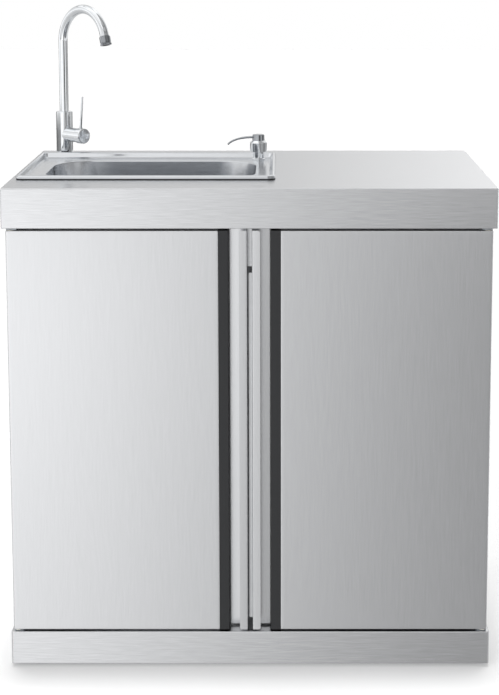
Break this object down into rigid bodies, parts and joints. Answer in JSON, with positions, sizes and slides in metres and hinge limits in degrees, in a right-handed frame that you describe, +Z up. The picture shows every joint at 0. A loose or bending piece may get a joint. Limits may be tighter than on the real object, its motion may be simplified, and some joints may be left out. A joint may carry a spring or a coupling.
{
  "type": "sink cabinet",
  "caption": "Free-standing steel cupboard with a folded worktop, drop-in sink, gooseneck mixer tap, soap pump and two pivoting doors with recessed full-height pulls.",
  "frame": {"origin": "on the floor, at the middle of the worktop's footprint", "axes": "+X to the right seen from the front, +Y from the doors to the back, +Z up"},
  "size_m": [0.914, 0.61, 1.2379],
  "materials": {
    "sheet_steel": "fine satin brushed",
    "sink_steel": "satin pressed",
    "chrome": "mirror polished",
    "zinc": "zinc plated",
    "black_trim": "satin black",
    "rubber": "matt",
    "nylon": "natural moulded",
    "white_plastic": "moulded"
  },
  "bodies": {
    "cabinet": {"base_pan": "sheet_steel", "left_side_panel": "sheet_steel", "right_side_panel": "sheet_steel", "back_panel": "sheet_steel", "upper_front_rail": "sheet_steel", "upper_rear_rail": "sheet_steel", "worktop_stiffener": "sheet_steel", "worktop": "sheet_steel", "left_upper_hinge_plate": "zinc", "left_lower_hinge_plate": "zinc", "left_upper_hinge_pin": "zinc", "left_lower_hinge_pin": "zinc", "left_magnetic_catch": "black_trim", "right_upper_hinge_plate": "zinc", "right_lower_hinge_plate": "zinc", "right_upper_hinge_pin": "zinc", "right_lower_hinge_pin": "zinc", "right_magnetic_catch": "black_trim", "sink_bowl": "sink_steel", "sink_seal": "rubber", "drain_flange": "sink_steel", "drain_gasket": "rubber", "drain_lock_nut": "white_plastic", "tailpiece": "white_plastic", "trap_body": "white_plastic", "trap_cup": "white_plastic", "waste_pipe": "white_plastic", "faucet_body": "chrome", "faucet_nut": "zinc", "mixer_cartridge": "white_plastic", "dispenser_collar": "chrome", "dispenser_nut": "zinc", "soap_bottle": "white_plastic"},
    "left_door": {"left_door_skin": "sheet_steel", "left_door_liner": "sheet_steel", "left_door_trim": "black_trim", "left_door_handle": "sheet_steel", "left_strike_plate": "zinc", "left_upper_bush": "nylon", "left_lower_bush": "nylon"},
    "right_door": {"right_door_skin": "sheet_steel", "right_door_liner": "sheet_steel", "right_door_trim": "black_trim", "right_door_handle": "sheet_steel", "right_strike_plate": "zinc", "right_upper_bush": "nylon", "right_lower_bush": "nylon", "overlap_strip": "sheet_steel"},
    "strainer": {"strainer_basket": "sink_steel"},
    "spout": {"spout_tube": "chrome", "aerator_collar": "chrome"},
    "mixer_knob": {"mixer_knob": "chrome"},
    "mixer_lever": {"lever_pin": "chrome"},
    "pump_stem": {"pump_stem": "nylon"},
    "pump_head": {"pump_head": "chrome"},
    "foot_front_left": {"levelling_foot_front_left": "zinc"},
    "foot_front_right": {"levelling_foot_front_right": "zinc"},
    "foot_rear_left": {"levelling_foot_rear_left": "zinc"},
    "foot_rear_right": {"levelling_foot_rear_right": "zinc"}
  },
  "joints": [
    {"name": "left_door_swing", "type": "hinge", "parent": "cabinet", "child": "left_door", "pos_m": [-0.441, -0.294, 0.4575], "axis": [0, 0, -1], "range_deg": [0, 105]},
    {"name": "right_door_swing", "type": "hinge", "parent": "cabinet", "child": "right_door", "pos_m": [0.441, -0.294, 0.4575], "axis": [0, 0, 1], "range_deg": [0, 105]},
    {"name": "strainer_lift", "type": "slide", "parent": "cabinet", "child": "strainer", "axis": [0, 0, 1], "range_m": [0, 0.2]},
    {"name": "spout_turn", "type": "hinge", "parent": "cabinet", "child": "spout", "pos_m": [-0.4035, 0.255, 1], "axis": [0, 0, 1], "continuous": true},
    {"name": "mixer_turn", "type": "hinge", "parent": "cabinet", "child": "mixer_knob", "pos_m": [-0.36461, 0.21611, 0.9615], "axis": [0.7071, -0.7071, 0], "range_deg": [-45, 45]},
    {"name": "mixer_lift", "type": "hinge", "parent": "mixer_knob", "child": "mixer_lever", "pos_m": [-0.36441, 0.21591, 0.9615], "axis": [0.7071, 0.7071, 0], "range_deg": [0, 20]},
    {"name": "pump_press", "type": "slide", "parent": "cabinet", "child": "pump_stem", "axis": [0, 0, -1], "range_m": [0, 0.012], "stiffness_N_per_m": 250, "springref_m": -0.012},
    {"name": "pump_turn", "type": "hinge", "parent": "pump_stem", "child": "pump_head", "pos_m": [0.0115, 0.157, 0.94], "axis": [0, 0, 1], "continuous": true},
    {"name": "foot_front_left_screw", "type": "slide", "parent": "cabinet", "child": "foot_front_left", "axis": [0, 0, -1], "range_m": [0, 0.015]},
    {"name": "foot_front_right_screw", "type": "slide", "parent": "cabinet", "child": "foot_front_right", "axis": [0, 0, -1], "range_m": [0, 0.015]},
    {"name": "foot_rear_left_screw", "type": "slide", "parent": "cabinet", "child": "foot_rear_left", "axis": [0, 0, -1], "range_m": [0, 0.015]},
    {"name": "foot_rear_right_screw", "type": "slide", "parent": "cabinet", "child": "foot_rear_right", "axis": [0, 0, -1], "range_m": [0, 0.015]}
  ]
}
